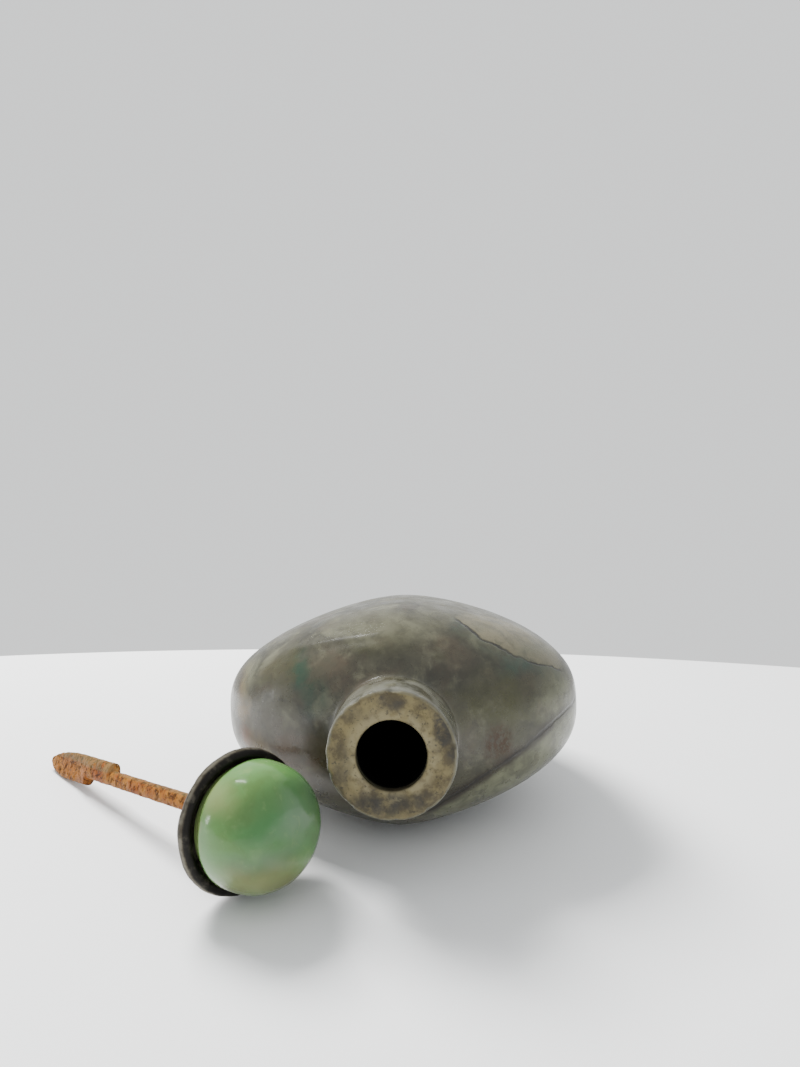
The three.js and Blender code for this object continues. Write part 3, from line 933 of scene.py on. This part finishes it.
def greenJadeite():
    material, tree, shader = newMaterial("greenJadeite", IOR=1.6, Specular_IOR_Level=0.28)
    place = objectPlace(tree)
    loose = wander(tree, wander(tree, place, 5, 1.6, 36), 1.6, 0.5, 37)
    moss = clouds(tree, loose, 4.5, 4.0, 0.6, 38, 0.44, 0.66)
    color = paint(tree, cabochon["apple"], cabochon["moss"], moss)
    pale = times(tree, clouds(tree, loose, 3.0, 4.0, 0.6, 39, 0.52, 0.72), 0.6)
    color = paint(tree, color, cabochon["pale"], pale)
    for tint, share, middle, size in cabochon["clouds"]:
        cover = patch(tree, loose, middle, size, 1.3)
        color = paint(tree, color, cabochon[tint], times(tree, cover, share))
    flecks = clouds(tree, loose, 1.0, 3.0, 0.6, 41, 0.56, 0.74)
    color = paint(tree, color, cabochon["pale"], times(tree, flecks, 0.25))
    plug(tree, color, shader.inputs["Base Color"])
    haze = noise(tree, place, 2.0, 4.0, 0.6, 42)
    plug(tree, rescale(tree, haze, 0.12, 0.10), shader.inputs["Roughness"])
    addRelief(tree, shader, 0.2, 0.1, noise(tree, place, 1.8, 3.0, 0.5, 43))
    return material


cabochonPiece = makeStopperPiece("jadeite_cabochon", cabochonMesh(), cabochon["wear"], greenJadeite())
handIn(cabochonPiece, "stopper_cabochon")


# Spoon: squared stem that steps out into a shallow pointed bowl

spoon = {
    "start": 2.7,
    "length": 52.0,
    "bowlLength": 20.5,
    "bowlSlant": 7.0,       # the bowl's far side starts this much later
    "stemHalfWidth": 1.08,
    "stemFlatness": 0.85,
    "corner": 0.75,         # power of the section, 1 is round
    "bowlHalfWidth": 2.1,
    "bowlHalfDepth": 1.05,
    "tipThinness": 0.45,
    "bowlHollow": 0.6,
    "hollowFrom": (0.3, 0.55),
    "pointFrom": 0.5,
    "pointReach": 0.52,
    "pointPowers": (2.2, 0.6),
    "around": 64,
    "roll": -112,           # degrees
    "wear": {
        "dentWidth": 1.0, "dentDepth": 0.10,
        "pitWidth": 0.42, "pitDepth": 0.09, "pitShare": 0.45, "seed": 44.0,
    },
    "orange": (0.199, 0.051, 0.003),
    "tan": (0.277, 0.107, 0.010),
    "dark": (0.017, 0.006, 0.001),
    # grey: painted highlight along the spoon's upper side
    "grey": (0.102, 0.084, 0.038),
    "scalesPerMetre": 1100.0,
}


def bowlSides():
    longSide = spoon["length"] - spoon["bowlLength"]
    return longSide, longSide + spoon["bowlSlant"]


def bowlReach(along, start):
    return min(max((along - start) / (spoon["length"] - start), 0), 1)


def bowlOutline(bowl):
    power, blunt = spoon["pointPowers"]
    return (1 - min(max((bowl - spoon["pointFrom"]) / spoon["pointReach"], 0), 1) ** power) ** blunt


def squared(value):
    return math.copysign(abs(value) ** spoon["corner"], value)


def spoonRing(along):
    longSide, shortSide = bowlSides()
    bowl = bowlReach(along, longSide)
    level, dip = spoon["stemHalfWidth"] * spoon["stemFlatness"], 0
    if bowl > 0:
        level = spoon["bowlHalfDepth"] * mix(spoon["tipThinness"], 1, bowlOutline(bowl))
        dip = spoon["bowlHollow"] * bowlOutline(bowl) * smoothStep(bowl, *spoon["hollowFrom"])
    ring = []
    for turn in spread(0, 2 * math.pi, spoon["around"])[:-1]:
        side = bowlReach(along, shortSide if math.cos(turn) > 0 else longSide)
        width = spoon["bowlHalfWidth"] * bowlOutline(side) if side > 0 else spoon["stemHalfWidth"]
        across, rise = width * squared(math.cos(turn)), level * squared(math.sin(turn))
        hollow = dip * (1 - (across / width) ** 2) if rise > 0 else 0
        ring.append((across, -along, rise - hollow))
    return ring


def spoonMesh():
    longSide, shortSide = bowlSides()
    length, gap = spoon["length"], 0.3
    places = spread(spoon["start"], longSide, 150) + spread(longSide + gap, shortSide, 36)
    places += spread(shortSide + gap, length - 0.5, 64)
    places += [length - short for short in (0.38, 0.26, 0.16, 0.08, 0.03, 0)]
    rings = [spoonRing(along) for along in places]
    first, last = (
        [(0, ring[0][1], sum(point[2] for point in ring) / len(ring))] * len(ring)
        for ring in (rings[0], rings[-1])
    )
    mesh = ringMesh("spoonOutline", [first] + rings + [last])
    mesh.transform(Matrix.Rotation(math.radians(spoon["roll"]), 4, "Y"))
    return mesh


def speckledHorn():
    material, tree, shader = newMaterial("speckledHorn", Specular_IOR_Level=0.2)
    place = objectPlace(tree)
    along, off = axisPlace(tree, place, stopperShape["middle"], stopperAxis)
    loose = wander(tree, place, 1.2, 0.5, 45)
    color = paint(tree, spoon["orange"], spoon["tan"], clouds(tree, loose, 2.4, 4.0, 0.6, 46, 0.40, 0.64))
    color = paint(tree, color, spoon["tan"], times(tree, fade(tree, along, -36, -41), 0.5))  # paler bowl

    # dark edges round small scales, and flecks
    scales = addNode(
        tree, "ShaderNodeTexVoronoi", {"feature": "DISTANCE_TO_EDGE"},
        Vector=loose, Scale=spoon["scalesPerMetre"],
    )
    scaly = clouds(tree, place, 1.5, 2.0, 0.5, 47, 0.42, 0.56)
    scaled = times(tree, fade(tree, scales.outputs["Distance"], 0.10, 0.0), scaly)
    color = paint(tree, color, spoon["dark"], times(tree, scaled, 0.75))
    flecks = clouds(tree, loose, 0.8, 4.0, 0.70, 48, 0.50, 0.60)
    color = paint(tree, color, spoon["dark"], times(tree, flecks, 0.75))

    # paler grey along the upper side: a painted highlight where the top facets face the light from above
    rise = times(tree, addNode(tree, "ShaderNodeSeparateXYZ", Vector=off).outputs["Z"], 1000.0)
    top = times(tree, fade(tree, rise, 0.75, 1.15), clouds(tree, place, 1.1, 3.0, 0.6, 49, 0.32, 0.5))
    color = paint(tree, color, spoon["grey"], times(tree, top, 0.6))
    plug(tree, color, shader.inputs["Base Color"])
    plug(tree, rescale(tree, flecks, 0.2, 0.55), shader.inputs["Roughness"])
    grain = noise(tree, place, 0.4, 4.0, 0.65, 50)
    addRelief(tree, shader, 0.6, 0.12, calc(tree, "SUBTRACT", grain, calc(tree, "ADD", scaled, flecks)))
    return material


spoonPiece = makeStopperPiece("carved_spoon", spoonMesh(), spoon["wear"], speckledHorn())
handIn(spoonPiece, "stopper_spoon")


# Floor: a wide pale sheet whose far edge shows behind the bottle

floorSetup = {
    "middle": (-10, -330),   # mm
    "radius": 420,
    "around": 256,
    "color": (0.84, 0.85, 0.86),
    "palerBy": 1.03,
    "roughness": 0.55,
}


def makeFloor():
    material, tree, shader = newMaterial("paleFloor", Roughness=floorSetup["roughness"])
    tone = noise(tree, objectPlace(tree), 40, 3.0, 0.5, 40)
    paler = tuple(value * floorSetup["palerBy"] for value in floorSetup["color"])
    plug(tree, paint(tree, floorSetup["color"], paler, tone), shader.inputs["Base Color"])
    (across, back), radius = floorSetup["middle"], floorSetup["radius"]
    rim = [
        ((across + radius * math.cos(turn)) * mm, (back + radius * math.sin(turn)) * mm, 0)
        for turn in spread(0, 2 * math.pi, floorSetup["around"])[:-1]
    ]
    mesh = bpy.data.meshes.new("floor")
    mesh.from_pydata(rim, [], [list(range(len(rim)))])
    mesh.materials.append(material)
    floor = bpy.data.objects.new("floor", mesh)
    bpy.context.scene.collection.objects.link(floor)
    return floor


makeFloor()
print("floor")
